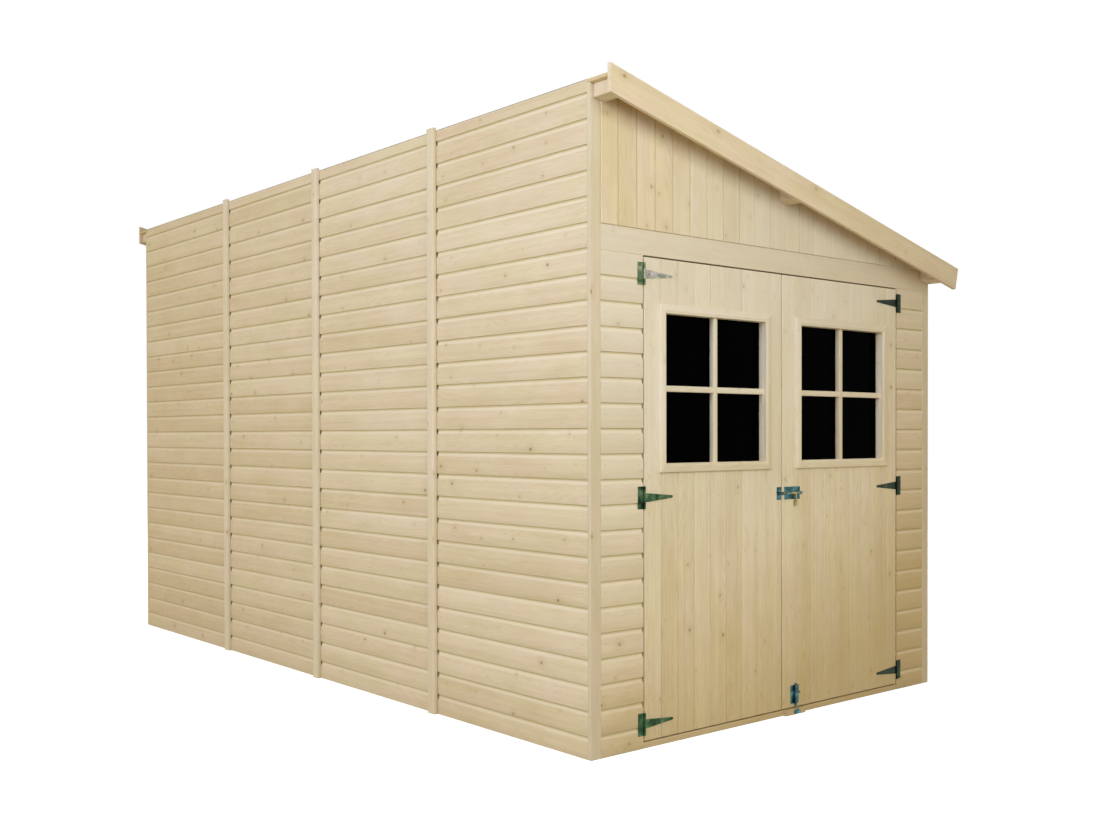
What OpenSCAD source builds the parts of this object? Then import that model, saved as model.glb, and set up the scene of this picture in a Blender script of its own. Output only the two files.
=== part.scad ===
// Wooden garden shed with a single-slope roof and a pair of glazed doors.
// Millimetres. +X runs along the door front, +Y from the front to the back,
// +Z up. The tall long wall is on the -X side. The origin is on the ground,
// at the middle of the whole outline seen from above.

/* [Shed] */
// Width over the cladding of the two long walls
shed_w = 2030; // [1850:10:2300]
// Length over the front and rear cladding
shed_l = 3910; // [3700:10:4600]
// Height of the roof covering above the ground at the tall wall
tall_h = 2325; // [2290:5:2400]
// Fall of the roof from the tall wall to the low one, in degrees
roof_pitch = 13.5; // [12:0.5:15]

/* [Cladding] */
// Thickness of the boards
clad_t = 16; // [14:1:18]
// Height of one lapped board as it shows
board_pitch = 88; // [75:1:110]
// Height of the lowest board up to its lap
first_board = 80; // [60:1:88]
// Height of the cove at the top of each board
cove_h = 12; // [8:1:16]
// Depth of the cove
cove_d = 6.5; // [4:0.5:8]
// Part of each board above the cove that stays hidden in shadow
groove_h = 4; // [3:0.5:6]
// Length of a wall panel between two seams
bay_l = 938; // [850:1:960]
// Open seam between two panels, under its batten
seam_gap = 2; // [1:0.5:4]

/* [Battens] */
// Width of a batten over a seam
batten_w = 45; // [38:1:50]
// Thickness of a batten over a seam
batten_t = 17; // [12:1:20]
// Height of the seam battens above the roof edge
batten_up = 8; // [0:1:15]
// Width of the boards that close the corners
corner_w = 47; // [40:1:55]

/* [Frame] */
// Width of a stud
stud_w = 45; // [35:1:50]
// Depth of the wall frames behind the cladding
stud_d = 45; // [35:1:55]
// Height of the board over the doors
trim_h = 91; // [80:1:100]
// How far that board's top is above the roof boards' underside at the low wall
trim_over = 14.4; // [12:0.1:20]
// Height of the rails inside a gable
gable_rail_h = 45; // [35:1:55]
// How far the gable boards stand in front of the board below
gable_step = 8; // [4:1:10]
// Length by which the gable boards stop short of their sharp low tip
gable_tip = 12; // [8:1:20]
// Length by which the sloping gable rail stops short of its own
rail_tip = 30; // [20:1:40]

/* [Roof] */
// Thickness of the roof covering
felt_t = 2; // [1:0.5:3]
// Thickness of the roof boards
deck_t = 12; // [10:1:18]
// Width of a purlin
purlin_w = 45; // [35:1:60]
// Depth of a purlin, measured plumb
purlin_h = 46; // [40:1:60]
// Overhang of the roof in front of and behind the walls, to the barge boards
gable_over = 88; // [60:1:120]
// Overhang of the roof past the low wall
eave_over = 73; // [50:1:110]
// Width of a barge board
barge_w = 95; // [85:1:110]
// Thickness of a barge board
barge_t = 17; // [14:1:22]
// How far a barge board stands above the roof covering
barge_up = 28; // [15:1:35]

/* [Floor] */
// Thickness of the floor boards
floor_t = 16; // [14:1:22]
// Height of the floor joists
joist_h = 32; // [28:1:40]
// Width of the floor joists
joist_w = 60; // [45:1:75]
// Joists under the floor
joists = 8; // [6:1:9]

/* [Doorway] */
// Width of the front wall on the left of the doorway
side_left = 250; // [230:1:260]
// Width of the front wall on the right of the doorway
side_right = 242; // [230:1:260]
// Distance of the meeting line to the left of the doorway's middle
meet_off = 8; // [0:1:12]
// Gap round and between the leaves
leaf_gap = 5.5; // [5:0.5:8]
// Height of the sill
sill_h = 22; // [18:1:30]
// Thickness of the ledges behind a leaf
ledge_t = 18; // [14:1:22]
// Width of the ledges
ledge_w = 70; // [60:1:90]
// Set-back of the ledges from the leaf's edges
ledge_in = 16; // [14:1:30]
// Distance from a leaf's lower edge to its lowest ledge
ledge_low = 102.5; // [95:0.5:130]
// Distance from a window's lining down to the middle ledge
ledge_mid = 142; // [120:1:170]
// Distance from a leaf's upper edge down to the highest ledge
ledge_high = 111.5; // [95:0.5:120]

/* [Windows] */
// Clear width inside a window's frame
win_w = 548; // [500:1:560]
// Clear height inside a window's frame
win_h = 538; // [480:1:560]
// Distance from a leaf's upper edge to its window's centre
win_drop = 462.5; // [440:0.5:480]
// Width of the moulding round a window
win_trim_w = 33; // [28:1:40]
// Thickness of that moulding
win_trim_t = 12; // [8:1:15]
// Thickness of the lining that holds the glass
lining_t = 18; // [14:1:22]
// Depth of the lining behind the door's face
lining_d = 36; // [34:1:45]
// Width of the glazing bars
bar_w = 22; // [18:1:28]
// Depth of the glazing bars
bar_d = 22; // [16:1:26]
// Set-back of the bars from the door's face
bar_in = 4; // [2:1:8]
// Thickness of the glass
glass_t = 4; // [3:1:6]

/* [Hinges] */
// Distance from a leaf's ends to its outer hinges' centres
hinge_end = 60; // [50:1:80]
// Height of the middle hinge's centre above the middle ledge's underside
hinge_rise = 40; // [35:1:45]
// Height of a hinge's plate
plate_h = 80; // [70:1:90]
// Reach of the plate from the pin
plate_reach = 30; // [26:1:36]
// Thickness of the plate and the strap
leaf_steel = 2; // [1.5:0.5:3]
// Length of the strap from the pin
strap_l = 144; // [120:1:150]
// Height of the strap at its root
strap_root = 34; // [28:1:38]
// Height of the strap at its tip
strap_tip = 10; // [8:1:14]
// Radius of the knuckles
knuckle_r = 4; // [3.5:0.5:5]
// Radius of the pin
pin_r = 2; // [1.5:0.5:2.5]
// Clearance between the pin and its knuckle
pin_clear = 0.08; // [0.04:0.01:0.1]
// Gap between neighbouring knuckles
knuckle_gap = 0.5; // [0.3:0.1:1]
// Gap between the knuckles and the wall behind them
knuckle_off = 0.4; // [0.2:0.1:1]

/* [Bolts] */
// Radius of the bolts' bars
rod_r = 4; // [3:0.5:5]
// Clearance of a bar in its guides
rod_clear = 0.1; // [0.05:0.01:0.1]
// Wall of the guides
guide_wall = 2.4; // [1.5:0.1:3]
// Thickness of the bolts' plates
bolt_steel = 1.5; // [1:0.5:2]
// Depth of a guide in its plate
guide_sink = 0.5; // [0.2:0.1:0.8]
// Height of the middle bolt above the middle ledge's underside
bolt_rise = 31; // [24:1:36]
// Length of the middle bolt's plate
bolt_l = 96; // [90:1:104]
// Height of the middle bolt's plate
bolt_h = 50; // [42:1:56]
// Distance from the leaf's edge to the middle bolt's plate
bolt_in = 12; // [10:1:16]
// Way that the middle bolt can be shot
bolt_shoot = 34; // [30:1:36]
// Way that a bolt can still be drawn back
bolt_back = 6; // [4:1:8]
// How far the drawn bar stands out of its guide
bolt_nose = 6; // [4:1:7]
// Length of the bar's tail behind its last guide
bolt_tail = 8; // [6:1:10]
// Length of the middle bolt's handle
handle_l = 50; // [44:1:56]
// Width of the flat tab at the end of that handle
tab_w = 14; // [10:1:18]
// Height of that tab
tab_h = 22; // [14:1:24]
// Width of the bolts' handles
stem_w = 6; // [5:1:8]
// Length of the catch on the other leaf
catch_l = 27; // [22:1:30]
// Clearance of the bar in the catch
catch_clear = 1.6; // [1.2:0.1:1.8]
// Wall of the catch
catch_wall = 1.5; // [1.2:0.1:1.5]
// Distance from the right leaf's edge to the bottom bolt's centre
drop_x = 75; // [66:1:80]
// Height of the underside of the bottom bolt's plate
drop_z = 42; // [36:1:46]
// Length of the bottom bolt's plate
drop_l = 72; // [68:1:84]
// Way that the bottom bolt can drop
drop_shoot = 22; // [18:1:23]
// Length of the bottom bolt's handle
drop_handle_l = 22; // [18:1:26]
// Length of the block that takes the bottom bolt
block_l = 120; // [110:1:150]
// Thickness of that block
block_t = 14; // [13:1:20]
// Distance of the block's left end beyond the meeting line
block_off = 11; // [6:1:14]
// Width of the slot in the block that the bottom bolt drops into
slot_w = 13; // [11:0.5:16]
// Width of the plate in front of the slot
keep_w = 40; // [26:1:44]
// Height of that plate
keep_h = 18; // [14:1:20]

/* [Hidden] */
$fn = 48;

// Panels along each long wall
bays = 4;
fall = tan(roof_pitch);
// Clearance between pieces that are fitted but not fixed to each other
fit = 0.3;
// Clearance under the roof boards
seat = 0.2;
// Clearance round a purlin in its notch
notch = 0.5;
// Overshoot of a cut past the faces that it opens
past = 1;
inner = clad_t + stud_d;
floor_in = inner + fit;
// Heights of the roof's layers at the outer face of the tall wall
felt_z = tall_h - felt_t;
deck_z = felt_z - deck_t;
purlin_z = deck_z - purlin_h;
roof_end = shed_w + eave_over;
barge_plumb = barge_w / cos(roof_pitch);
trim_top = deck_z - fall * shed_w + trim_over;
trim_z = trim_top - trim_h;
// Middle of the whole outline, where the origin is
mid_x = (roof_end - batten_t) / 2;
mid_y = shed_l / 2;
// Edges of the leaves
jamb_l = side_left;
jamb_r = shed_w - side_right;
meet_x = (jamb_l + jamb_r) / 2 - meet_off;
leaf_z = sill_h + leaf_gap;
leaf_top = trim_z - leaf_gap;
left_x0 = jamb_l + leaf_gap;
left_x1 = meet_x - leaf_gap / 2;
right_x0 = meet_x + leaf_gap / 2;
right_x1 = jamb_r - leaf_gap;
// Window centres, and what is fixed at a height below them
left_cx = (left_x0 + left_x1) / 2;
right_cx = (right_x0 + right_x1) / 2;
win_z = leaf_top - win_drop;
ledge_mid_z = win_z - win_h / 2 - lining_t - ledge_mid;
hinge_z = [leaf_z + hinge_end, ledge_mid_z + hinge_rise, leaf_top - hinge_end];
bolt_z = ledge_mid_z + bolt_rise;
// Hinge pins stand in front of the gap at each jamb
pin_y = -knuckle_r - knuckle_off;
pin_l = jamb_l + leaf_gap / 2;
pin_rx = jamb_r - leaf_gap / 2;
// Bolt bars run in front of their plates
guide_r = rod_r + rod_clear + guide_wall;
rod_y = -bolt_steel - guide_r + guide_sink;
bolt_x = right_x0 + bolt_in;
drop_cx = right_x0 + drop_x;
// Room left at each end of a handle's way between two guides
stem_gap = 1;
guide_l = (bolt_l - bolt_shoot - bolt_back - stem_w) / 2 - stem_gap;
handle_x = guide_l + stem_gap + bolt_shoot;
drop_guide_l = (drop_l - drop_shoot - bolt_back - stem_w) / 2 - stem_gap;

// Height of a plane parallel to the roof that meets the tall wall at z0
function roof_z(z0, x) = z0 - fall * x;

// Where panel number i starts and ends along a long wall
function seam_y(i) = i <= 0 ? clad_t : i >= bays ? shed_l - clad_t : i * bay_l;

// Tops of the lapped boards of a wall h high
function laps(h) = [for (z = first_board; z < h - cove_h; z = z + board_pitch) z];

// Outline of lapped cladding: each board has a flat face, then a cove, and the
// next board's lower edge stands proud of it
function lap_outline(h) = concat(
    [[clad_t, 0], [0, 0]],
    [for (z = laps(h)) each [
        [0, z - groove_h - cove_h], [cove_d, z - groove_h], [cove_d, z], [0, z]]],
    [[0, h], [clad_t, h]]);

module placed() translate([-mid_x, -mid_y, 0]) children();
module at_rear() translate([0, shed_l, 0]) mirror([0, 1, 0]) children();
module at_right() translate([shed_w, 0, 0]) mirror([1, 0, 0]) children();
module swap_xy() mirror([1, -1, 0]) children();

// A piece with the outline [x, z], drawn from y0 to y1
module along_y(y0, y1, outline)
    translate([0, y1, 0]) rotate([90, 0, 0]) linear_extrude(y1 - y0) polygon(outline);

// Lapped cladding of height h from y0 to y1, with its outer face on x = 0
module cladding(y0, y1, h) along_y(y0, y1, lap_outline(h));

// A strip of roof from x0 to x1 between two planes parallel to the roof
module roof_strip(x0, x1, y0, y1, z_low, z_top)
    along_y(y0, y1, [
        [x0, roof_z(z_low, x0)], [x1, roof_z(z_low, x1)],
        [x1, roof_z(z_top, x1)], [x0, roof_z(z_top, x0)]]);

purlin_x = [clad_t, shed_w / 2 - purlin_w / 2, shed_w - clad_t - purlin_w];

// The purlins with a margin round them, for the notches that they lie in
module purlin_bars(margin, y0, y1)
    for (x = purlin_x)
        roof_strip(x - margin, x + purlin_w + margin, y0, y1,
            purlin_z - margin, deck_z - seat + margin);

// A length of squared timber from z0 to z1
module timber(x, y, dx, dy, z0, z1) translate([x, y, z0]) cube([dx, dy, z1 - z0]);

// Places of the long walls' studs: the ends, the seams and the bays' middles
function long_studs() = concat(
    [clad_t],
    [for (i = [1:bays - 1]) i * bay_l - stud_w / 2],
    [for (i = [0:bays - 1]) (seam_y(i) + seam_y(i + 1)) / 2 - stud_w / 2],
    [shed_l - clad_t - stud_w]);

tall_clad_h = roof_z(felt_z, clad_t) - seat;
low_clad_h = roof_z(deck_z, shed_w) - seat;

module tall_panel(i)
    placed() color("#DCCBA5")
        cladding(seam_y(i) + (i > 0 ? seam_gap / 2 : 0),
            seam_y(i + 1) - (i < bays - 1 ? seam_gap / 2 : 0), tall_clad_h);
module left_wall_panel_1() tall_panel(0);
module left_wall_panel_2() tall_panel(1);
module left_wall_panel_3() tall_panel(2);
module left_wall_panel_4() tall_panel(3);

module low_panel(i)
    placed() color("#D6C49B")
        at_right() cladding(seam_y(i) + (i > 0 ? seam_gap / 2 : 0),
            seam_y(i + 1) - (i < bays - 1 ? seam_gap / 2 : 0), low_clad_h);
module right_wall_panel_1() low_panel(0);
module right_wall_panel_2() low_panel(1);
module right_wall_panel_3() low_panel(2);
module right_wall_panel_4() low_panel(3);

module left_wall_studs()
    placed() color("#C9B68C")
        for (y = long_studs())
            along_y(y, y + stud_w, [
                [clad_t, 0], [inner, 0],
                [inner, roof_z(purlin_z, inner)], [clad_t, roof_z(purlin_z, clad_t)]]);

module right_wall_studs()
    placed() color("#C9B68C")
        for (y = long_studs())
            along_y(y, y + stud_w, [
                [shed_w - inner, 0], [shed_w - clad_t, 0],
                [shed_w - clad_t, roof_z(purlin_z, shed_w - clad_t)],
                [shed_w - inner, roof_z(purlin_z, shed_w - inner)]]);

module left_wall_battens()
    placed() color("#D8C8A4")
        for (i = [1:bays - 1])
            timber(-batten_t, i * bay_l - batten_w / 2, batten_t, batten_w,
                0, tall_h + batten_up);

module right_wall_battens()
    placed() color("#D8C8A4")
        for (i = [1:bays - 1])
            timber(shed_w, i * bay_l - batten_w / 2, batten_t, batten_w,
                0, roof_z(deck_z, shed_w + batten_t) - seat);

module floor_joists()
    placed() color("#B79F70")
        for (i = [0:joists - 1])
            let (y = floor_in + i * (shed_l - 2 * floor_in - joist_w) / (joists - 1))
                timber(floor_in, y, shed_w - 2 * floor_in, joist_w, 0, joist_h);

module floor_boards()
    placed() color("#CDBB93")
        timber(floor_in, floor_in, shed_w - 2 * floor_in, shed_l - 2 * floor_in,
            joist_h, joist_h + floor_t);

// Front and rear walls share their trim board, rails and gable boards
module trim_board()
    difference() {
        along_y(0, clad_t, [
            [corner_w, trim_z], [shed_w - corner_w, trim_z],
            [shed_w - corner_w, roof_z(deck_z - seat, shed_w - corner_w)],
            [(deck_z - seat - trim_top) / fall, trim_top], [corner_w, trim_top]]);
        purlin_bars(notch, -past, clad_t + past);
    }

module head_rail()
    difference() {
        timber(inner + fit, clad_t, shed_w - 2 * inner - 2 * fit, stud_d, trim_z, trim_top);
        purlin_bars(0, clad_t - past, inner + past);
        along_y(clad_t - past, inner + past, [
            [inner, roof_z(purlin_z, inner)], [shed_w, roof_z(purlin_z, shed_w)],
            [shed_w, tall_h], [inner, tall_h]]);
    }

// Lower rail of a gable and the sloping rail under the purlins
gable_back = clad_t - gable_step;
rafter_z = purlin_z - gable_rail_h;
module gable_rails() {
    low_end = (rafter_z - trim_top - gable_rail_h) / fall - gable_tip;
    timber(inner + fit, gable_back, low_end - inner - fit, stud_d,
        trim_top, trim_top + gable_rail_h);
    along_y(gable_back, gable_back + stud_d, [
        [inner + fit, roof_z(rafter_z, inner + fit)],
        [(rafter_z - trim_top) / fall, trim_top],
        [(purlin_z - trim_top) / fall - rail_tip, trim_top],
        [(purlin_z - trim_top) / fall - rail_tip, trim_top + rail_tip * fall],
        [inner + fit, roof_z(purlin_z, inner + fit)]]);
}

module gable_boards() {
    tip_x = (deck_z - seat - trim_top) / fall - gable_tip;
    difference() {
        along_y(-gable_step, gable_back, [
            [corner_w, trim_top], [tip_x, trim_top], [tip_x, trim_top + gable_tip * fall],
            [corner_w, roof_z(deck_z - seat, corner_w)]]);
        purlin_bars(notch, -gable_step - past, clad_t);
    }
}

module front_trim_board() placed() color("#D8C8A4") trim_board();
module rear_trim_board() placed() color("#D8C8A4") at_rear() trim_board();
module front_head_rail() placed() color("#C9B68C") head_rail();
module rear_head_rail() placed() color("#C9B68C") at_rear() head_rail();
module front_gable_rails() placed() color("#C9B68C") gable_rails();
module rear_gable_rails() placed() color("#C9B68C") at_rear() gable_rails();
module front_gable_boards() placed() color("#CDB98D") gable_boards();
module rear_gable_boards() placed() color("#CDB98D") at_rear() gable_boards();

module front_panel_left()
    placed() color("#D6C49B")
        swap_xy() cladding(corner_w, jamb_l, trim_z - seat);
module front_panel_right()
    placed() color("#D0BC90")
        swap_xy() cladding(jamb_r, shed_w - corner_w, trim_z - seat);

module door_posts()
    placed() color("#C9B68C")
        for (x = [jamb_l - stud_w, jamb_r])
            timber(x, clad_t, stud_w, stud_d, 0, trim_z);

module door_sill()
    placed() color("#C4AF80")
        timber(jamb_l, 0, jamb_r - jamb_l, inner, 0, sill_h);

module rear_wall_panels()
    placed() color("#D6C49B")
        at_rear() swap_xy() {
            cladding(corner_w, shed_w / 2 - seam_gap / 2, trim_z - seat);
            cladding(shed_w / 2 + seam_gap / 2, shed_w - corner_w, trim_z - seat);
        }

module rear_wall_studs()
    placed() color("#C9B68C")
        at_rear() for (k = [1:3])
            timber(k * shed_w / 4 - stud_w / 2, clad_t, stud_w, stud_d, 0, trim_z);

module rear_wall_batten()
    placed() color("#D8C8A4")
        at_rear() timber(shed_w / 2 - batten_w / 2, -batten_t, batten_w, batten_t, 0, trim_z);

// Boards that close the four corners, in the thickness of the end walls
module end_corners()
    difference() {
        for (x = [0, shed_w - corner_w])
            along_y(0, clad_t, [
                [x, 0], [x + corner_w, 0],
                [x + corner_w, roof_z(deck_z, x + corner_w) - seat],
                [x, roof_z(deck_z, x) - seat]]);
        purlin_bars(notch, -past, clad_t + past);
    }
module corner_boards()
    placed() color("#D8C8A4") {
        end_corners();
        at_rear() end_corners();
    }

module purlins()
    placed() color("#C9B68C")
        purlin_bars(0, -gable_over + fit, shed_l + gable_over - fit);

// Roof boards: the first one is notched round the tall wall's cladding
module roof_boards()
    placed() color("#C8B48A")
        difference() {
            roof_strip(0, roof_end, -gable_over, shed_l + gable_over, deck_z, felt_z);
            translate([-past, clad_t, deck_z - deck_t])
                cube([clad_t + past, shed_l - 2 * clad_t, 3 * deck_t]);
        }

module roof_felt()
    placed() color("#3A3B3C")
        roof_strip(0, roof_end, -gable_over, shed_l + gable_over, felt_z, tall_h);

module barge_board() {
    top = tall_h + barge_up;
    along_y(-gable_over - barge_t, -gable_over, [
        [0, top - barge_plumb],
        [roof_end - barge_w * sin(roof_pitch),
            roof_z(top - barge_plumb, roof_end - barge_w * sin(roof_pitch))],
        [roof_end, roof_z(top, roof_end)],
        [0, top]]);
}
module front_barge_board() placed() color("#CDBB93") barge_board();
module rear_barge_board() placed() color("#CDBB93") at_rear() barge_board();

// Plate of a T hinge, with the outer knuckles and the pin
knuckle_h = (plate_h - strap_root) / 2 - knuckle_gap;
module hinge_plate() {
    translate([-plate_reach, 0, 0]) plate_slab();
    for (z = [-plate_h / 2, plate_h / 2 - knuckle_h])
        translate([0, 0, z]) {
            cylinder(r = knuckle_r, h = knuckle_h);
            translate([-knuckle_r - leaf_steel, -pin_y - leaf_steel, 0])
                cube([knuckle_r + leaf_steel, leaf_steel, knuckle_h]);
        }
    translate([0, 0, -plate_h / 2]) cylinder(r = pin_r, h = plate_h);
}
module plate_slab()
    translate([0, -pin_y - leaf_steel, -plate_h / 2])
        cube([plate_reach - knuckle_r - leaf_steel / 2, leaf_steel, plate_h]);

// Strap of a T hinge: a tapered leaf with a round tip and the middle knuckle
module hinge_strap() {
    difference() {
        union() {
            translate([0, 0, -strap_root / 2]) cylinder(r = knuckle_r, h = strap_root);
            translate([0, -pin_y, 0]) rotate([90, 0, 0])
                linear_extrude(leaf_steel) strap_outline();
        }
        translate([0, 0, -strap_root / 2 - past])
            cylinder(r = pin_r + pin_clear, h = strap_root + 2 * past);
    }
}
module strap_outline() {
    tip_x = strap_l - strap_tip / 2;
    // Half the height of the tapered part where it meets the round tip
    edge = strap_tip * 0.45;
    polygon([[0, -strap_root / 2], [tip_x, -edge], [tip_x, edge], [0, strap_root / 2]]);
    translate([tip_x, 0]) circle(r = strap_tip / 2);
}

module at_left_pins()
    for (z = hinge_z) translate([pin_l, pin_y, z]) children();
module at_right_pins()
    for (z = hinge_z) translate([pin_rx, pin_y, z]) rotate([0, 180, 0]) children();

module hinge_plates()
    placed() color("#3F5B45") {
        at_left_pins() hinge_plate();
        at_right_pins() hinge_plate();
    }
module left_hinge_straps() placed() color("#3F5B45") at_left_pins() hinge_strap();
module right_hinge_straps() placed() color("#33483A") at_right_pins() hinge_strap();

// A leaf's boards, from x0 to x1, with the cut-out for its window
module leaf_boards(x0, x1)
    difference() {
        timber(x0, 0, x1 - x0, clad_t, leaf_z, leaf_top);
        translate([(x0 + x1) / 2, 0, win_z])
            cube([win_w + 2 * lining_t, 3 * clad_t, win_h + 2 * lining_t], center = true);
    }
module leaf_ledges(x0, x1)
    for (z = [leaf_z + ledge_low, ledge_mid_z, leaf_top - ledge_high])
        timber(x0 + ledge_in, clad_t, x1 - x0 - 2 * ledge_in, ledge_t, z, z + ledge_w);

module ring(w, h, band, y0, y1)
    translate([0, y1, 0]) rotate([90, 0, 0]) linear_extrude(y1 - y0)
        difference() {
            square([w + 2 * band, h + 2 * band], center = true);
            square([w, h], center = true);
        }
// Moulding in front, lining through the boards and a cross of glazing bars
module window_frame(cx)
    translate([cx, 0, win_z]) {
        ring(win_w, win_h, win_trim_w, -win_trim_t, 0);
        ring(win_w, win_h, lining_t, 0, lining_d);
        translate([-bar_w / 2, bar_in, -win_h / 2]) cube([bar_w, bar_d, win_h]);
        translate([-win_w / 2, bar_in, -bar_w / 2]) cube([win_w, bar_d, bar_w]);
    }
module window_glass(cx)
    translate([cx - win_w / 2 + fit, bar_in + bar_d, win_z - win_h / 2 + fit])
        cube([win_w - 2 * fit, glass_t, win_h - 2 * fit]);

module left_door_boards() placed() color("#D9C9A3") leaf_boards(left_x0, left_x1);
module left_door_ledges() placed() color("#C9B68C") leaf_ledges(left_x0, left_x1);
module left_window_frame() placed() color("#DCCFAE") window_frame(left_cx);
module left_window_glass() placed() color("#15181A") window_glass(left_cx);
module right_door_boards() placed() color("#D3C196") leaf_boards(right_x0, right_x1);
module right_door_ledges() placed() color("#C9B68C") leaf_ledges(right_x0, right_x1);
module right_window_frame() placed() color("#D8C9A2") window_frame(right_cx);
module right_window_glass() placed() color("#15181A") window_glass(right_cx);

// A plate with rolled guides round the bar, each from one of the places to the next
module guided_plate(l, outer_r, bore_r, places)
    difference() {
        union() {
            translate([0, -bolt_steel, -bolt_h / 2]) cube([l, bolt_steel, bolt_h]);
            for (x = places)
                translate([x[0], rod_y, 0]) rotate([0, 90, 0])
                    cylinder(r = outer_r, h = x[1] - x[0]);
        }
        translate([-past, rod_y, 0]) rotate([0, 90, 0])
            cylinder(r = bore_r, h = l + 2 * past);
    }

// Catch for the middle bolt on the left leaf
module bolt_catch()
    placed() color("#4F8794")
        translate([left_x1 - stem_gap - catch_l, 0, bolt_z])
            guided_plate(catch_l, rod_r + catch_clear + catch_wall, rod_r + catch_clear,
                [[0, catch_l]]);

// Plates and guides of both bolts on the right leaf
module guide_pair(l, g) guided_plate(l, guide_r, rod_r + rod_clear, [[0, g], [l - g, l]]);
module bolt_guides()
    placed() color("#2F5E6B") {
        translate([bolt_x, 0, bolt_z]) guide_pair(bolt_l, guide_l);
        translate([drop_cx, 0, drop_z]) rotate([0, -90, 0]) guide_pair(drop_l, drop_guide_l);
    }

// Bar of a bolt along +X, from its nose to its tail, with its handle at stem_x
module bar(nose, tail, stem_x, drop) {
    translate([-nose, 0, 0]) rotate([0, 90, 0]) cylinder(r = rod_r, h = nose + tail);
    translate([stem_x, -rod_r, -drop]) cube([stem_w, rod_r, drop]);
}
module middle_bolt()
    placed() color("#B39B5A")
        translate([bolt_x, rod_y, bolt_z]) {
            bar(bolt_nose, bolt_l + bolt_tail, handle_x, handle_l);
            translate([handle_x + (stem_w - tab_w) / 2, -rod_r, -handle_l])
                cube([tab_w, rod_r, tab_h]);
        }
module bottom_bolt()
    placed() color("#2F5E6B")
        translate([drop_cx, rod_y, drop_z]) rotate([0, -90, 0])
            bar(drop_z - leaf_z, drop_l + bolt_tail, drop_guide_l + stem_gap + drop_shoot,
                drop_handle_l);

// Block in front of the sill, in two lengths with a slot between them
module bolt_block()
    placed() color("#C4AF80") {
        block_x = meet_x + block_off;
        timber(block_x, -block_t, drop_cx - slot_w / 2 - block_x, block_t, 0, sill_h);
        timber(drop_cx + slot_w / 2, -block_t, block_x + block_l - drop_cx - slot_w / 2,
            block_t, 0, sill_h);
    }
module bolt_block_plate()
    placed() color("#4F8794")
        timber(drop_cx - keep_w / 2, -block_t - bolt_steel, keep_w, bolt_steel,
            (sill_h - keep_h) / 2, (sill_h + keep_h) / 2);

floor_joists();
floor_boards();
left_wall_panel_1();
left_wall_panel_2();
left_wall_panel_3();
left_wall_panel_4();
left_wall_studs();
left_wall_battens();
right_wall_panel_1();
right_wall_panel_2();
right_wall_panel_3();
right_wall_panel_4();
right_wall_studs();
right_wall_battens();
rear_wall_panels();
rear_wall_studs();
rear_wall_batten();
rear_trim_board();
rear_head_rail();
rear_gable_rails();
rear_gable_boards();
front_panel_left();
front_panel_right();
door_posts();
door_sill();
front_trim_board();
front_head_rail();
front_gable_rails();
front_gable_boards();
corner_boards();
purlins();
roof_boards();
roof_felt();
front_barge_board();
rear_barge_board();
hinge_plates();
bolt_block();
bolt_block_plate();
left_door_boards();
left_door_ledges();
left_window_frame();
left_window_glass();
left_hinge_straps();
bolt_catch();
right_door_boards();
right_door_ledges();
right_window_frame();
right_window_glass();
right_hinge_straps();
bolt_guides();
middle_bolt();
bottom_bolt();
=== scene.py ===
import math
import bmesh
import bpy
import numpy as np
from mathutils import Matrix, Vector


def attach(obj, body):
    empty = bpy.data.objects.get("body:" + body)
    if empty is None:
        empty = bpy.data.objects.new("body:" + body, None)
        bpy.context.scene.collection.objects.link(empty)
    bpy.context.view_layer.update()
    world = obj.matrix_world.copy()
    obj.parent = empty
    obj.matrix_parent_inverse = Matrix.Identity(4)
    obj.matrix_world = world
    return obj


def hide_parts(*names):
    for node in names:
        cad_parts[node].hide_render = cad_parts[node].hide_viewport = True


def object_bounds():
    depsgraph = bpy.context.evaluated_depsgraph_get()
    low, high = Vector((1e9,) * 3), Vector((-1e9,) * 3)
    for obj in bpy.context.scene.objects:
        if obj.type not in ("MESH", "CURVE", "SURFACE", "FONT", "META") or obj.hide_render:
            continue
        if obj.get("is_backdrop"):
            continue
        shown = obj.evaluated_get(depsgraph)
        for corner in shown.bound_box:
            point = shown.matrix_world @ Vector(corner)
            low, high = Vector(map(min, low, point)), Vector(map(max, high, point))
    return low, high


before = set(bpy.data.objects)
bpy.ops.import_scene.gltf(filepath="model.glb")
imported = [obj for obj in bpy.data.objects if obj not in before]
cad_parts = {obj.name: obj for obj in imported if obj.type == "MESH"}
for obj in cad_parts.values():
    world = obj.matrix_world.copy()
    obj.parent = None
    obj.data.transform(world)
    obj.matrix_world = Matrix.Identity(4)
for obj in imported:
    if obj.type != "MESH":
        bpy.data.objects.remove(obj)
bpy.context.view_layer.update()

# floor joists
# Sawn spruce joists that lie on the ground under the floor. Their edges are
# left square from the saw, with a slight arris from handling.


def linear(code):
    """sRGB hex to linear RGBA: c / 12.92 below 0.04045, else ((c + 0.055) / 1.055) ** 2.4."""
    c = np.array([int(code[i:i + 2], 16) for i in (1, 3, 5)]) / 255
    low, high = c / 12.92, ((c + 0.055) / 1.055) ** 2.4
    return (*np.where(c <= 0.04045, low, high), 1.0)


def add(tree, kind, inputs=None, **settings):
    """Adds a node, sets its settings, and sets or links its inputs."""
    node = tree.nodes.new("ShaderNode" + kind)
    for name, value in settings.items():
        setattr(node, name, value)
    for socket, value in (inputs or {}).items():
        if isinstance(value, bpy.types.NodeSocket):
            tree.links.new(value, node.inputs[socket])
        else:
            node.inputs[socket].default_value = value
    return node


def per_m(mm):
    """Repeats in a metre of a pattern that is mm wide."""
    return 1000 / mm


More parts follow.
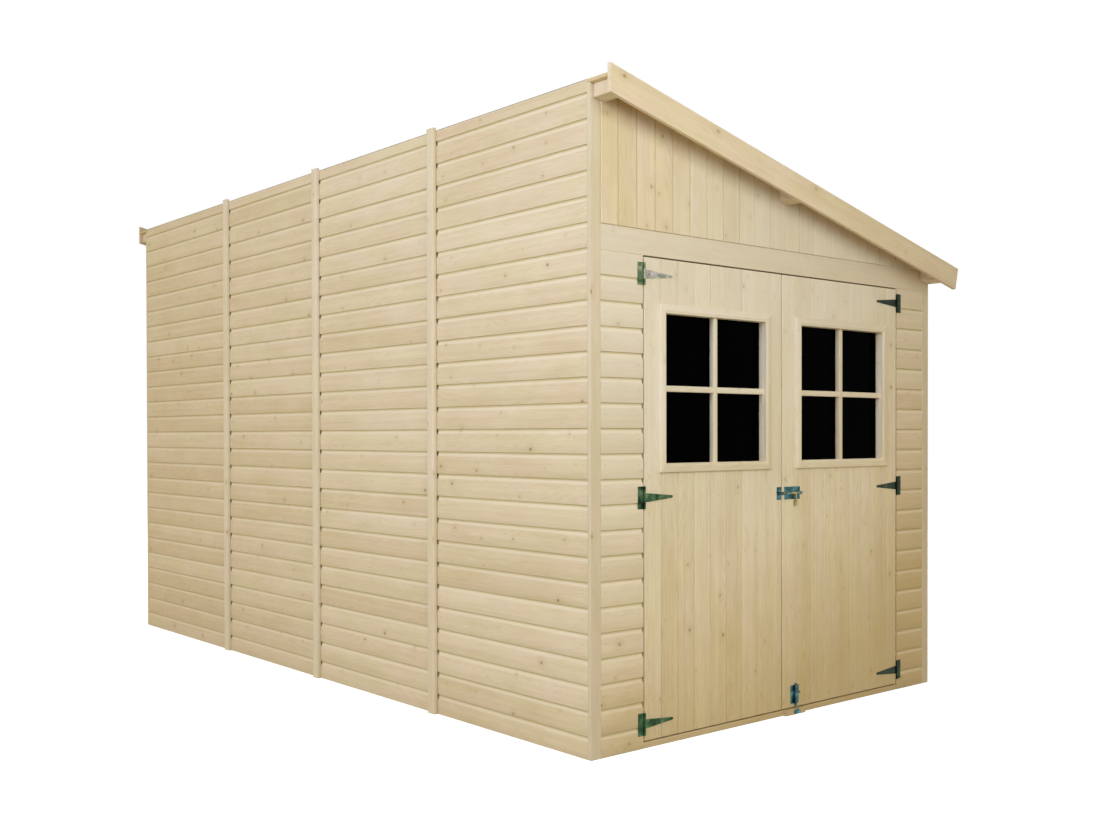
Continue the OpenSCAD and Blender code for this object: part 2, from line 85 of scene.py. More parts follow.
def timber_finish(name, pale, blush, dark, ring_shade, tone_spread, knot_share, rough,
                  painted_light=None):
    """Softwood from its own map: u runs along the grain and v across, in metres.
    Growth rings are the contour lines of a smooth field that is long in u, and
    they bend round knots, which are discs at scattered points of the same map. The
    colours are early wood in two tints and late wood. The last argument is a direction
    and three places along it, in metres: towards the first the wood gets a golden
    painted shade, at the second it is plain, and towards the third a pale painted light."""
    material = bpy.data.materials.new(name)
    material.use_nodes = True
    tree = material.node_tree
    shader = tree.nodes["Principled BSDF"]
    grain = add(tree, "UVMap", uv_map="grain").outputs["UV"]
    tone = add(tree, "Attribute", attribute_name="tone").outputs["Fac"]
    dust_and_painted_shading = add(tree, "Attribute", attribute_name="dust_and_painted_shading").outputs["Fac"]

    def pattern(long_mm, wide_mm, detail):
        """Noise whose hills are that long and wide on the map."""
        place = add(tree, "VectorMath", {0: grain, 1: (per_m(long_mm), per_m(wide_mm), 1.0)},
                    operation="MULTIPLY")
        return add(tree, "TexNoise", {"Vector": place.outputs[0], "Scale": 1.0,
                                      "Detail": detail, "Roughness": 0.55},
                   noise_dimensions="2D").outputs["Fac"]

    def plus(a, b, c=0.0):
        """a times b plus c."""
        return add(tree, "Math", {0: a, 1: b, 2: c}, operation="MULTIPLY_ADD").outputs[0]

    # Knots stand about 210 mm apart along a board and 90 mm across the map
    gap = (0.21, 0.09, 1.0)
    wobble = pattern(9, 6, 1.0)
    cells = add(tree, "VectorMath", {0: grain, 1: gap}, operation="DIVIDE")
    spots = add(tree, "TexVoronoi", {"Vector": cells.outputs[0], "Scale": 1.0, "Randomness": 0.95},
                voronoi_dimensions="2D")
    away = add(tree, "VectorMath", {0: cells.outputs[0], 1: spots.outputs["Position"]},
               operation="SUBTRACT")
    away = add(tree, "VectorMath", {0: away.outputs[0], 1: (gap[0] * 0.75, gap[1], 0.0)},
               operation="MULTIPLY")
    reach = add(tree, "VectorMath", {0: away.outputs[0]}, operation="LENGTH").outputs["Value"]
    reach = plus(wobble, 0.003, reach)
    chance = add(tree, "SeparateColor", {0: spots.outputs["Color"]})
    has_knot = add(tree, "Math", {0: chance.outputs["Red"], 1: knot_share},
                   operation="LESS_THAN").outputs[0]
    # They are 5 to 16 mm across, and the square makes most of them small
    radius = add(tree, "MapRange", {"Value": plus(chance.outputs["Green"], chance.outputs["Green"]),
                                    "To Min": 0.0026, "To Max": 0.0080}).outputs["Result"]
    ratio = add(tree, "Math", {0: reach, 1: radius}, operation="DIVIDE").outputs[0]
    swirl = add(tree, "MapRange", {"Value": ratio, "From Min": 0.5, "From Max": 5.0,
                                   "To Min": 1.0, "To Max": 0.0}, interpolation_type="SMOOTHSTEP")
    swirl = plus(swirl.outputs["Result"], has_knot)
    # Growth rings about 6 mm apart on hills 900 mm long and 60 mm wide
    level = plus(pattern(900, 60, 1.0), 15.0, swirl)
    ring = add(tree, "Math", {0: level}, operation="FRACT").outputs[0]
    ring = add(tree, "MapRange", {"Value": ring, "From Min": 0.2, "From Max": 0.9},
               interpolation_type="SMOOTHSTEP").outputs["Result"]
    # Fibres 0.6 mm wide, drawn 2 mm wide so that they show at this distance
    fibre = pattern(70, 2, 3.0)
    share = plus(ring, ring_shade, -0.42 - tone_spread / 2)
    share = plus(fibre, 0.30, share)
    share = plus(pattern(1200, 22, 2.0), 0.50, share)
    share = plus(pattern(260, 110, 2.0), 0.45, share)
    share = plus(tone, tone_spread, share)
    share = add(tree, "Clamp", {"Value": share}).outputs[0]
    drift = add(tree, "MapRange", {"Value": pattern(420, 90, 1.0), "From Min": 0.38,
                                   "From Max": 0.62}, interpolation_type="SMOOTHSTEP")

    def over(amount, below, above):
        """The colour above laid over the one below, by that amount."""
        return add(tree, "Mix", {0: amount, 6: below, 7: above}, data_type="RGBA").outputs[2]

    wood = over(drift.outputs["Result"], linear(pale), linear(blush))
    wood = over(share, wood, linear(dark))
    # A knot is brown with a darker rim, in a faint halo of darker wood
    inside = add(tree, "MapRange", {"Value": ratio, "From Min": 1.25, "From Max": 0.55})
    rim = add(tree, "ValToRGB", {0: ratio})
    rim.color_ramp.elements[0].position, rim.color_ramp.elements[1].position = 0.40, 0.95
    rim.color_ramp.elements[0].color = linear("#96794A")
    rim.color_ramp.elements[1].color = linear("#7C623A")
    wood = over(plus(swirl, 0.22), wood, linear("#B79A66"))
    shows = plus(chance.outputs["Blue"], 0.55, 0.4)
    knot = plus(plus(inside.outputs["Result"], has_knot), shows)
    wood = over(knot, wood, rim.outputs["Color"])
    # Painted light pales the wood towards one end, and painted shade turns it golden towards the
    # other
    if painted_light:
        way, (painted_shade_end, plain, painted_light_end) = painted_light
        spot = add(tree, "TexCoord").outputs["Object"]
        along = add(tree, "VectorMath", {0: spot, 1: way}, operation="DOT_PRODUCT")
        for code, most, end in (("#BDA05D", 0.5, painted_shade_end), ("#DFD7CB", 0.45, painted_light_end)):
            painted_share = add(tree, "MapRange", {"Value": along.outputs["Value"], "From Min": plain,
                                          "From Max": end, "To Max": most})
            wood = over(painted_share.outputs["Result"], wood, linear(code))
    # Dust and painted shade darken the wood inside the laps and joints, where the
    # share is above 0. Where it is below 0, the scoop gets a painted highlight, paler than the
    # face.
    wood = over(plus(dust_and_painted_shading, 0.75), wood, linear("#BDAA74"))
    wood = over(plus(dust_and_painted_shading, -1.0), wood, linear("#EDDFC9"))
    tree.links.new(wood, shader.inputs["Base Color"])
    matt = add(tree, "MapRange", {"Value": fibre, "To Min": rough - 0.06, "To Max": rough + 0.08})
    tree.links.new(matt.outputs["Result"], shader.inputs["Roughness"])
    bump = add(tree, "Bump", {"Height": plus(ring, 0.5, fibre), "Strength": 0.3,
                              "Distance": 0.0004})
    tree.links.new(bump.outputs["Normal"], shader.inputs["Normal"])
    shader.inputs["Specular IOR Level"].default_value = 0.3
    return material


# Sawn framing spruce: a little darker and yellower than the planed boards, matt
frame_timber = timber_finish("sawn_spruce", "#D7C399", "#DCC4A1", "#BFA272",
                             0.20, 0.30, 0.35, 0.74)

rng = np.random.default_rng(19)


def islands(count, edges):
    """The connected part that each vertex is in: each takes the lowest number
    among its neighbours' until nothing changes."""
    label = np.arange(count)
    while True:
        low = label.copy()
        np.minimum.at(low, edges[:, 0], label[edges[:, 1]])
        np.minimum.at(low, edges[:, 1], label[edges[:, 0]])
        low = low[low]
        if (low == label).all():
            return np.unique(label, return_inverse=True)[1]
        label = low


def dressed(name, node, body, along, finish, arris=1.5, rounded=False):
    """A part that keeps its CAD shape, as a merged copy with eased edges. On each
    face u is the place along the grain and v the place across it. Rounded parts
    are shaded smoothly over edges below 35 degrees."""
    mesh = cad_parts[node].data.copy()
    work = bmesh.new()
    work.from_mesh(mesh)
    bmesh.ops.remove_doubles(work, verts=work.verts, dist=2e-5)
    bmesh.ops.dissolve_limit(work, angle_limit=math.radians(1), verts=work.verts, edges=work.edges)
    work.to_mesh(mesh)
    work.free()
    mesh.materials.clear()
    mesh.materials.append(finish)
    mesh.polygons.foreach_set("use_smooth", np.full(len(mesh.polygons), rounded))
    if rounded:
        mesh.set_sharp_from_angle(angle=math.radians(35))
    place = np.empty(len(mesh.vertices) * 3)
    mesh.vertices.foreach_get("co", place)
    place = place.reshape(-1, 3)
    edges = np.empty(len(mesh.edges) * 2, int)
    mesh.edges.foreach_get("vertices", edges)
    part = islands(len(place), edges.reshape(-1, 2))
    normal = np.empty(len(mesh.polygons) * 3)
    mesh.polygons.foreach_get("normal", normal)
    corners = np.empty(len(mesh.polygons), int)
    mesh.polygons.foreach_get("loop_total", corners)
    vertex = np.empty(len(mesh.loops), int)
    mesh.loops.foreach_get("vertex_index", vertex)
    normal = np.repeat(normal.reshape(-1, 3), corners, axis=0)
    along = np.array(along, float) / np.linalg.norm(along)
    across = np.cross(along, normal)
    size = np.linalg.norm(across, axis=1)
    # An end face has no direction across the grain, so a spare one serves there
    spare = np.cross(along, [0.3, 0.5, 0.8])
    end = size < 0.4
    across = np.where(end[:, None], spare / np.linalg.norm(spare),
                      across / np.maximum(size, 0.1)[:, None])
    offset = rng.uniform(0, 20, (part.max() + 1, 2))
    here = place[vertex]
    u = here @ along + offset[part[vertex], 0]
    v = (here * across).sum(1) + offset[part[vertex], 1]
    layer = mesh.uv_layers.new(name="grain")
    layer.data.foreach_set("uv", np.stack([u, v], 1).ravel())
    tone = mesh.attributes.new("tone", "FLOAT", "POINT")
    tone.data.foreach_set("value", rng.uniform(0.4, 1, part.max() + 1)[part])
    piece = bpy.data.objects.new(name, mesh)
    bpy.context.scene.collection.objects.link(piece)
    bevel = piece.modifiers.new("eased edges", "BEVEL")
    bevel.width, bevel.segments, bevel.limit_method = arris / 1000, 2, "ANGLE"
    bevel.angle_limit = math.radians(40)
    bevel.harden_normals = rounded
    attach(piece, body)
    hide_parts(node)
    return piece


X, Y, Z = (1, 0, 0), (0, 1, 0), (0, 0, 1)
dressed("joist_timbers", "floor_joists", "shed", X, frame_timber)

# floor boards
# Planed spruce boards that run the length of the shed over the joists, each
# with its edges eased, so that a fine groove shows between two of them.

MIDDLE = np.array([1043.0, 1955.0, 0.0])
SHED_W, SHED_L = 2030.0, 3910.0
CLAD_T = 16.0


def board(outline, place, start, end, dust_and_painted_shading=None):
    """A closed outline of points (a, b) carried straight along c: its points are
    place(a, b, c) for c at the start and the end, which may depend on a and b.
    On the sides u is c and v the way round the outline; the caps are flat. The last
    argument gives each numbered point in a lap or joint its share of dust and painted
    shade, or below 0 its share of painted highlight."""
    a, b = np.array(outline, float).T
    count = len(a)
    c = [e(a, b) if callable(e) else np.full(count, float(e)) for e in (start, end)]
    points = np.concatenate([np.stack(np.broadcast_arrays(*place(a, b, e)), 1) for e in c])
    way = np.hypot(np.roll(a, -1) - a, np.roll(b, -1) - b)
    way = np.concatenate([[0], np.cumsum(way)])
    i = np.arange(count)
    j = (i + 1) % count
    faces = [*np.stack([i, j, j + count, i + count], 1), i[::-1], i + count]
    maps = [*np.stack([np.stack([c[0], way[:-1]], 1), np.stack([c[0][j], way[1:]], 1),
                       np.stack([c[1][j], way[1:]], 1), np.stack([c[1], way[:-1]], 1)], 1),
            np.stack([a, b], 1)[::-1], np.stack([a, b], 1)]
    volume = sum((points[f[0]] * np.cross(points[f[1:-1]], points[f[2:]])).sum() for f in faces)
    if volume < 0:
        faces, maps = [f[::-1] for f in faces], [m[::-1] for m in maps]
    deep = np.zeros(count)
    for point, share in (dust_and_painted_shading or {}).items():
        deep[point] = share
    return {"points": points, "faces": faces, "maps": maps, "dust_and_painted_shading": np.tile(deep, 2),
            "shift": rng.uniform(0, 20000, 2), "tone": rng.uniform()}


def built(name, boards, body, nodes, finish):
    """One piece from many boards, moved from the walls' millimetres to the frame's metres."""
    points, faces, maps, tones = [], [], [], []
    count = 0
    for b in boards:
        points.append(b["points"])
        faces += [(f + count).tolist() for f in b["faces"]]
        maps += [m + b["shift"] for m in b["maps"]]
        tones.append(np.full(len(b["points"]), b["tone"]))
        count += len(b["points"])
    mesh = bpy.data.meshes.new(name)
    mesh.from_pydata((np.concatenate(points) - MIDDLE) / 1000, [], faces)
    mesh.uv_layers.new(name="grain").data.foreach_set("uv", (np.concatenate(maps) / 1000).ravel())
    mesh.attributes.new("tone", "FLOAT", "POINT").data.foreach_set("value", np.concatenate(tones))
    mesh.attributes.new("dust_and_painted_shading", "FLOAT", "POINT").data.foreach_set(
        "value", np.concatenate([b["dust_and_painted_shading"] for b in boards]))
    mesh.polygons.foreach_set("use_smooth", np.ones(len(faces), bool))
    mesh.set_sharp_from_angle(angle=math.radians(28))
    mesh.materials.append(finish)
    piece = bpy.data.objects.new(name, mesh)
    bpy.context.scene.collection.objects.link(piece)
    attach(piece, body)
    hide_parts(*nodes)
    return piece


def eased(a0, a1, b0, b1, r):
    """A rectangle with its four corners rounded to radius r, three points each."""
    turn = np.radians([0, 45, 90])
    ring = []
    for k, (a, b) in enumerate([(a1 - r, b1 - r), (a0 + r, b1 - r),
                                (a0 + r, b0 + r), (a1 - r, b0 + r)]):
        ring += [(a + r * math.cos(t + k * math.pi / 2), b + r * math.sin(t + k * math.pi / 2))
                 for t in turn]
    return ring


# Planed spruce, fresh and pale: silky, with faint rings and small brown knots
planed_spruce = timber_finish("planed_spruce", "#E0CEAE", "#E3CEB4", "#C5AB82",
                              0.13, 0.33, 0.45, 0.62)
INSIDE, JOIST_H, HALF_GAP = 61.3, 32.0, 0.3
floor_x = np.linspace(INSIDE, SHED_W - INSIDE, 22)
floor_set = [board(eased(a0 + HALF_GAP, a1 - HALF_GAP, JOIST_H, JOIST_H + CLAD_T, 1.5),
                   lambda a, b, c: (a, c, b), INSIDE, SHED_L - INSIDE)
             for a0, a1 in zip(floor_x[:-1], floor_x[1:])]
built("floor_planks", floor_set, "shed", ["floor_boards"], planed_spruce)

# wall frames
# Planed framing timber: studs, posts, head rails and gable rails behind the
# boards, and three purlins that carry the roof and pass through both gables.

FALL = math.tan(math.radians(13.5))
SLOPE = (math.cos(math.atan(FALL)), 0, -math.sin(math.atan(FALL)))
for name, node, along in (
        ("left_stud_timbers", "left_wall_studs", Z),
        ("right_stud_timbers", "right_wall_studs", Z),
        ("rear_stud_timbers", "rear_wall_studs", Z),
        ("door_post_timbers", "door_posts", Z),
        ("front_head_timber", "front_head_rail", X),
        ("rear_head_timber", "rear_head_rail", X),
        ("front_gable_timbers", "front_gable_rails", SLOPE),
        ("rear_gable_timbers", "rear_gable_rails", SLOPE)):
    dressed(name, node, "shed", along, frame_timber)
dressed("purlin_timbers", "purlins", "shed", Y, planed_spruce)

# lapped walls
# Lapped spruce cladding: each board has a flat face and a scooped upper edge,
# and the next board's lower edge stands over it. The boards are nailed to the
# studs in panels, four on each long wall.

PITCH, FIRST, COVE_H, COVE_D, GROOVE_H = 88.0, 80.0, 18.0, 3.8, 2.0
END_D = 7.6


def lap(z0, z1, top, proud, deep, bevel):
    """Outline (depth, height) of one board from z0 to z1. Its scoop is a shallow
    dust_and_painted_shading: depth = D u^p, height = H u for u from 0 to 1. The power p is 0.75,
    and smaller where the scoop is deeper, so that it drops in at once there. The
    top board's upper edge rises outwards with the slope bevel."""
    u = np.linspace(0, 1, 7)
    ring = [(CLAD_T, z0), (proud + 1.2, z0), (proud + 0.35, z0 + 0.35), (proud, z0 + 1.2)]
    if top:
        ring += [(proud, z1 + bevel * (CLAD_T - proud))]
    else:
        edge = z1 - GROOVE_H - COVE_H
        scoop = (deep - proud - 0.3) * u ** (0.75 * COVE_D / deep)
        ring += [(proud, edge - 0.8), *zip(proud + 0.3 + scoop, edge + COVE_H * u)]
        ring += [(deep, z1 - 0.1)]
    return ring + [(CLAD_T, z1 - 0.1)]


# Of a lap's outline, the underside of the lip and the scoop's upper part get dust and
# painted shade, and its lower part a painted highlight. The deep ends are all darkened with painted
# shade.
LIP_PAINTED_SHADE = {0: 1.0, 1: 0.8}
LAP_PAINTED_SHADING = {**LIP_PAINTED_SHADE, 6: -0.3, 7: -0.5, 8: -0.5, 9: -0.15, 10: 0.65, 11: 1.0, 12: 1.0}
NOTCH_PAINTED_SHADE = {**LIP_PAINTED_SHADE, 6: 0.4, 7: 0.8, 8: 1.1, 9: 1.2, 10: 1.2, 11: 1.2, 12: 1.2}


def lapped(place, c0, c1, height, cut0=0.0, cut1=0.0, bevel=0.0):
    """The boards of one panel between c0 and c1, up to that height. Over the
    lengths cut0 and cut1 at their ends the scoop is cut deeper, for the battens."""
    tops = [*np.arange(FIRST, height - COVE_H, PITCH), height]
    made = []
    for z0, z1 in zip([0.0, *tops[:-1]], tops):
        proud, shift, tone = rng.uniform(0, 0.5), rng.uniform(0, 20000, 2), rng.uniform()
        for e0, e1, deep, dust_and_painted_shading in ((c0, c0 + cut0, END_D, NOTCH_PAINTED_SHADE),
                                     (c0 + cut0, c1 - cut1, COVE_D, LAP_PAINTED_SHADING),
                                     (c1 - cut1, c1, END_D, NOTCH_PAINTED_SHADE)):
            if e1 > e0:
                made.append(board(lap(z0, z1, z1 == height, proud, deep, bevel), place, e0, e1,
                                  dust_and_painted_shading if z1 < height else LIP_PAINTED_SHADE))
                made[-1]["shift"], made[-1]["tone"] = shift, tone
    return made


BAY, SEAM, END_CUT, JAMB_CUT, SEAT = 938.0, 1.0, 30.0, 6.5, 0.2
DECK_Z, FELT_Z = 2311.0, 2323.0
ends = [CLAD_T, BAY, 2 * BAY, 3 * BAY, SHED_L - CLAD_T]
TALL_TOP = FELT_Z - FALL * CLAD_T - SEAT
LOW_TOP = DECK_Z - FALL * SHED_W - SEAT
# The tall wall's top edge rises nearly to the felt, and leaves a fine dark line
TOP_BEVEL = 0.65 * FALL
for k in range(4):
    c0 = ends[k] + (SEAM if k else 0)
    c1 = ends[k + 1] - (SEAM if k < 3 else 0)
    cuts = (END_CUT if k else 0), (END_CUT if k < 3 else 0)
    tall = lapped(lambda a, b, c: (a, c, b), c0, c1, TALL_TOP, *cuts, TOP_BEVEL)
    built(f"left_lapped_boards_{k + 1}", tall, "shed", [f"left_wall_panel_{k + 1}"],
          planed_spruce)
    low = lapped(lambda a, b, c: (SHED_W - a, c, b), c0, c1, LOW_TOP, *cuts)
    built(f"right_lapped_boards_{k + 1}", low, "shed", [f"right_wall_panel_{k + 1}"],
          planed_spruce)

# The same planed spruce at the front, with painted light at the top left and a golden
# painted shade towards the foot on the right
front_spruce = timber_finish("front_spruce", "#E0CEAE", "#E3CEB4", "#C5AB82",
                             0.13, 0.33, 0.45, 0.62, painted_light=((-0.5, 0, 1), (0.05, 0.72, 1.7)))
CORNER, JAMB_L, JAMB_R, TRIM_Z = 47.0, 250.0, 1788.0, 1747.0
for name, node, c0, c1, cuts in (
        ("front_lapped_boards_left", "front_panel_left", CORNER, JAMB_L, (0, JAMB_CUT)),
        ("front_lapped_boards_right", "front_panel_right", JAMB_R, SHED_W - CORNER, (JAMB_CUT, 0))):
    built(name, lapped(lambda a, b, c: (c, a, b), c0, c1, TRIM_Z - SEAT, *cuts), "shed", [node],
          front_spruce)
rear = [b for c0, c1 in ((CORNER, SHED_W / 2 - SEAM), (SHED_W / 2 + SEAM, SHED_W - CORNER))
        for b in lapped(lambda a, b, c: (c, SHED_L - a, b), c0, c1, TRIM_Z - SEAT)]
built("rear_lapped_boards", rear, "shed", ["rear_wall_panels"], planed_spruce)

# cover strips
# Planed battens nailed over the seams between panels, corner boards that close
# the four corners, and the boards over the doors and across the rear wall.

# The battens are of paler sapwood than the boards, with fewer knots
batten_spruce = timber_finish("batten_spruce", "#E4D7BC", "#E7D7C2", "#CAB48C",
                              0.13, 0.30, 0.35, 0.62)
BATTEN_W, BATTEN_T, BATTEN_TOP = 45.0, 16.6, 2333.0


def batten(x0, x1, y0, y1, top):
    """An upright strip from the ground to the top, with its edges eased by 2 mm."""
    return board(eased(x0, x1, y0, y1, 2), lambda a, b, c: (a, b, c), 0, top)


seam_y = [(k * BAY - BATTEN_W / 2, k * BAY + BATTEN_W / 2) for k in (1, 2, 3)]
built("left_seam_battens", [batten(-BATTEN_T, 0, *y, BATTEN_TOP) for y in seam_y], "shed",
      ["left_wall_battens"], batten_spruce)
low_top = LOW_TOP - FALL * BATTEN_T
built("right_seam_battens", [batten(SHED_W, SHED_W + BATTEN_T, *y, low_top) for y in seam_y],
      "shed", ["right_wall_battens"], batten_spruce)
rear_strip = batten((SHED_W - BATTEN_W) / 2, (SHED_W + BATTEN_W) / 2, SHED_L, SHED_L + BATTEN_T,
                    TRIM_Z)
built("rear_seam_batten", [rear_strip], "shed", ["rear_wall_batten"], batten_spruce)
# The corner boards are of the same wood as the battens, a shade greyer
corner_spruce = timber_finish("corner_spruce", "#DBCDB3", "#DECDB9", "#C2AB84",
                              0.13, 0.30, 0.35, 0.62)
dressed("corner_strips", "corner_boards", "shed", Z, corner_spruce)
dressed("front_header_board", "front_trim_board", "shed", X, front_spruce)
dressed("rear_header_board", "rear_trim_board", "shed", X, planed_spruce)
dressed("sill_board", "door_sill", "shed", X, front_spruce, arris=3)

# gable boards
# Upright matched boards under the roof at both ends, joined with a small V.
# They are notched where the purlins pass through.

VEE, TONGUE_GAP, TONGUE_IN = 2.8, 0.45, 3.8


def upright(a0, a1, b0, b1, vee0, vee1, vee=VEE):
    """Outline of an upright board seen from above. At each edge that is a joint the
    front corner is cut to a V, and a narrow gap goes on from there to the tongue."""
    v0, g0 = (vee, TONGUE_GAP) if vee0 else (0.02, 0.0)
    v1, g1 = (vee, TONGUE_GAP) if vee1 else (0.02, 0.0)
    return [(a0 + g0, b0 + v0), (a0 + g0 + v0, b0), (a1 - g1 - v1, b0), (a1 - g1, b0 + v1),
            (a1 - g1, b0 + TONGUE_IN), (a1, b0 + TONGUE_IN + 0.1), (a1, b1), (a0, b1),
            (a0, b0 + TONGUE_IN + 0.1), (a0 + g0, b0 + TONGUE_IN)]


def seam_points(vee0, vee1):
    """The outline points of an upright board inside its joints, with shares of dust and painted
    shade.
    """
    return {k: 0.85 for k in (*((0, 8, 9) if vee0 else ()), *((3, 4, 5) if vee1 else ()))}


def roof_z(z, x):
    """Height at x of the plane parallel to the roof that meets x = 0 at z."""
    return z - FALL * x


PURLINS = [(16.0, 61.0), (992.5, 1037.5), (1969.0, 2014.0)]
PURLIN_Z, TRIM_TOP, GABLE_OUT, GABLE_IN = 2265.0, 1838.0, 4.0, 8.0
GABLE_FIRST, GABLE_PITCH, POINT_GAP, NARROWEST = 128.0, 90.0, 14.0, 20.0
# The last board ends a little before the point where the roof meets the header board
gable_end = (DECK_Z - TRIM_TOP) / FALL - POINT_GAP
gable_seams = [CORNER, *np.arange(GABLE_FIRST, gable_end - NARROWEST, GABLE_PITCH), gable_end]


def gable(place):
    """Boards between the seams, each split at a purlin's sides."""
    made = []
    for s0, s1 in zip(gable_seams[:-1], gable_seams[1:]):
        cuts = sorted({s0, s1, *[p for pair in PURLINS for p in pair if s0 < p < s1]})
        whole = None
        for a0, a1 in zip(cuts[:-1], cuts[1:]):
            under = any(p0 - 0.5 < (a0 + a1) / 2 < p1 + 0.5 for p0, p1 in PURLINS)
            top = PURLIN_Z - 0.5 if under else DECK_Z
            part = board(upright(a0, a1, -GABLE_OUT, GABLE_IN, a0 == s0, a1 == s1), place,
                         TRIM_TOP + 0.3, lambda a, b, top=top: roof_z(top, a) - 0.1,
                         seam_points(a0 == s0, a1 == s1))
            if whole is not None:
                part["shift"], part["tone"] = whole["shift"], whole["tone"]
            whole = whole or part
            made.append(part)
    return made


# Planed spruce of a knotty grade, a little paler than the walls' boards as painted light,
# with a golden painted shade at the tall end and painted light from the middle on
gable_spruce = timber_finish("gable_spruce", "#E4D3B3", "#E4D1B9", "#C5AB7F",
                             0.17, 0.34, 0.90, 0.62, painted_light=(X, (-1.3, -0.75, -0.15)))
built("front_gable_planks", gable(lambda a, b, c: (a, b, c)), "shed", ["front_gable_boards"],
      gable_spruce)
built("rear_gable_planks", gable(lambda a, b, c: (a, SHED_L - b, c)), "shed", ["rear_gable_boards"],
      gable_spruce)

# roof
# Roof boards nailed across the purlins, felt over them in three lapped strips,
# and a barge board along each end that stands a little above the felt.

ROOF_END, OVER, FELT_T = 2103.0, 88.0, 1.8
deck_y = [-OVER, *np.linspace(CLAD_T, SHED_L - CLAD_T, 44), SHED_L + OVER]
# Roof boards of a cheaper grade: yellower, with stronger rings, and rather matt
deck_boards = timber_finish("roof_spruce", "#DAC598", "#DEC5A1", "#C0A06D",
                            0.20, 0.40, 0.45, 0.68)
deck = [board(upright(y0, y1, 0.2, FELT_Z - DECK_Z, True, True),
              lambda a, b, c: (c, a, roof_z(DECK_Z + b, c)),
              0 if (y0 < 0 or y1 > SHED_L) else CLAD_T, ROOF_END - FELT_T - SEAT,
              seam_points(True, True))
        for y0, y1 in zip(deck_y[:-1], deck_y[1:])]
built("roof_planks", deck, "shed", ["roof_boards"], deck_boards)

# Mineral felt: dark grey grit, dull, in soft blotches where it has worn
felt = bpy.data.materials.new("mineral_felt")
felt.use_nodes = True
tree = felt.node_tree
shader = tree.nodes["Principled BSDF"]
spot = add(tree, "TexCoord").outputs["Object"]
grit = add(tree, "TexNoise", {"Vector": spot, "Scale": per_m(3), "Detail": 3.0, "Roughness": 0.7})
worn = add(tree, "TexNoise", {"Vector": spot, "Scale": per_m(260), "Detail": 3.0})
mixed = add(tree, "Math", {0: worn.outputs["Fac"], 1: 0.25, 2: grit.outputs["Fac"]},
            operation="MULTIPLY_ADD")
shade = add(tree, "ValToRGB", {0: mixed.outputs[0]})
shade.color_ramp.elements[0].position, shade.color_ramp.elements[1].position = 0.42, 0.88
shade.color_ramp.elements[0].color = linear("#35342F")
shade.color_ramp.elements[1].color = linear("#75736B")
tree.links.new(shade.outputs["Color"], shader.inputs["Base Color"])
shader.inputs["Roughness"].default_value = 0.92
bump = add(tree, "Bump", {"Height": grit.outputs["Fac"], "Strength": 0.6, "Distance": 0.0008})
tree.links.new(bump.outputs["Normal"], shader.inputs["Normal"])

# Each strip lies on the roof boards and on the top edge of the strip below it,
# and the lowest is turned down over the eaves
FELT_LAP, TURN_DOWN = 55.0, 24.0
outlines = []
for x0, rests in ((1150.0, ROOF_END), (233.0, 1150.0), (2.6, 233.0)):
    x1 = min(rests + FELT_LAP, ROOF_END)
    low = [(x0, 0.1), (rests - 4, 0.1)] + ([(rests, 2.0), (x1, 2.0)] if rests < x1 else [(x1, 0.1)])
    outlines.append(low + [(x, h + FELT_T) for x, h in low][::-1])
outlines.append([(ROOF_END - FELT_T, 0.1), (ROOF_END - FELT_T, -TURN_DOWN),
                 (ROOF_END, -TURN_DOWN), (ROOF_END, 0.1)])
strips = [board(outline, lambda a, b, c: (a, c, roof_z(FELT_Z + b, a)), -OVER, SHED_L + OVER)
          for outline in outlines]
built("felt_strips", strips, "shed", ["roof_felt"], felt)

ROOF_Z, BARGE_W, BARGE_T, BARGE_UP = 2325.0, 95.0, 17.0, 28.0
cos_p, sin_p = SLOPE[0], -SLOPE[2]


def barge(y_side):
    """The board's outline (depth, place below the top edge) carried down the slope
    s = (cos p, -sin p); the upper end is cut plumb and the lower end square."""
    return [board(eased(0, BARGE_T, -BARGE_W, 0, 2),
                  lambda a, b, c: (c * cos_p + b * sin_p, y_side(a),
                                   ROOF_Z + BARGE_UP - c * sin_p + b * cos_p),
                  lambda a, b: -b * FALL, ROOF_END / cos_p)]


built("front_barge_timber", barge(lambda a: -OVER - a), "shed", ["front_barge_board"],
      planed_spruce)
built("rear_barge_timber", barge(lambda a: SHED_L + OVER + a), "shed", ["rear_barge_board"],
      planed_spruce)

# door leaves
# Each leaf is made of upright matched boards on three ledges at the back, with
# a cut-out for its window.

LEAF_LOW, LEAF_TOP, DOOR_VEE = 27.5, 1741.5, 1.8
# Spruce paler than the walls' boards as painted light, with more painted light at the head
# and a golden painted shade at the foot
door_spruce = timber_finish("door_spruce", "#E9DABA", "#E9D8C0", "#C9AF82",
                            0.20, 0.42, 0.60, 0.62, painted_light=((-0.35, 0, 1), (0.05, 0.72, 1.5)))
WIN_Z, WIN_W, WIN_H, LINING = 1279.0, 548.0, 538.0, 18.0
hole_low, hole_high = WIN_Z - WIN_H / 2 - LINING, WIN_Z + WIN_H / 2 + LINING
